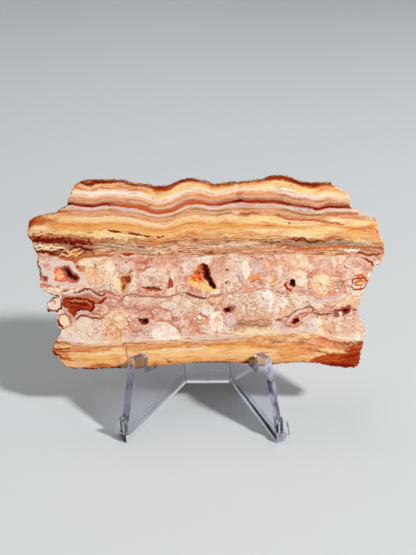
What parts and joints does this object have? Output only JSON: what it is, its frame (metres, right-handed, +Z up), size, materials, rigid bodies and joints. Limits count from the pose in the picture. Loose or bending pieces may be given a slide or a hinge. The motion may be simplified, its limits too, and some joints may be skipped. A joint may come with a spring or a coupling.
{
  "type": "agate slab",
  "caption": "Polished slice of banded crazy lace agate with a rough natural rim, leaning back on a clear acrylic easel stand for display.",
  "frame": {"origin": "middle of the bounding box in plan, on the surface the stand rests on", "axes": "+X along the slab's length, to the right seen from its polished face; +Y to the back, away from the polished face; +Z up"},
  "size_m": [0.1428, 0.0478, 0.0955],
  "materials": {
    "banded_agate": "polished face with cream, orange, pink and dark red-brown bands; rough matt rim",
    "clear_acrylic": "clear, glossy, injection moulded"
  },
  "bodies": {
    "root": {"agate_slab": "banded_agate", "acrylic_stand": "clear_acrylic"}
  },
  "joints": []
}
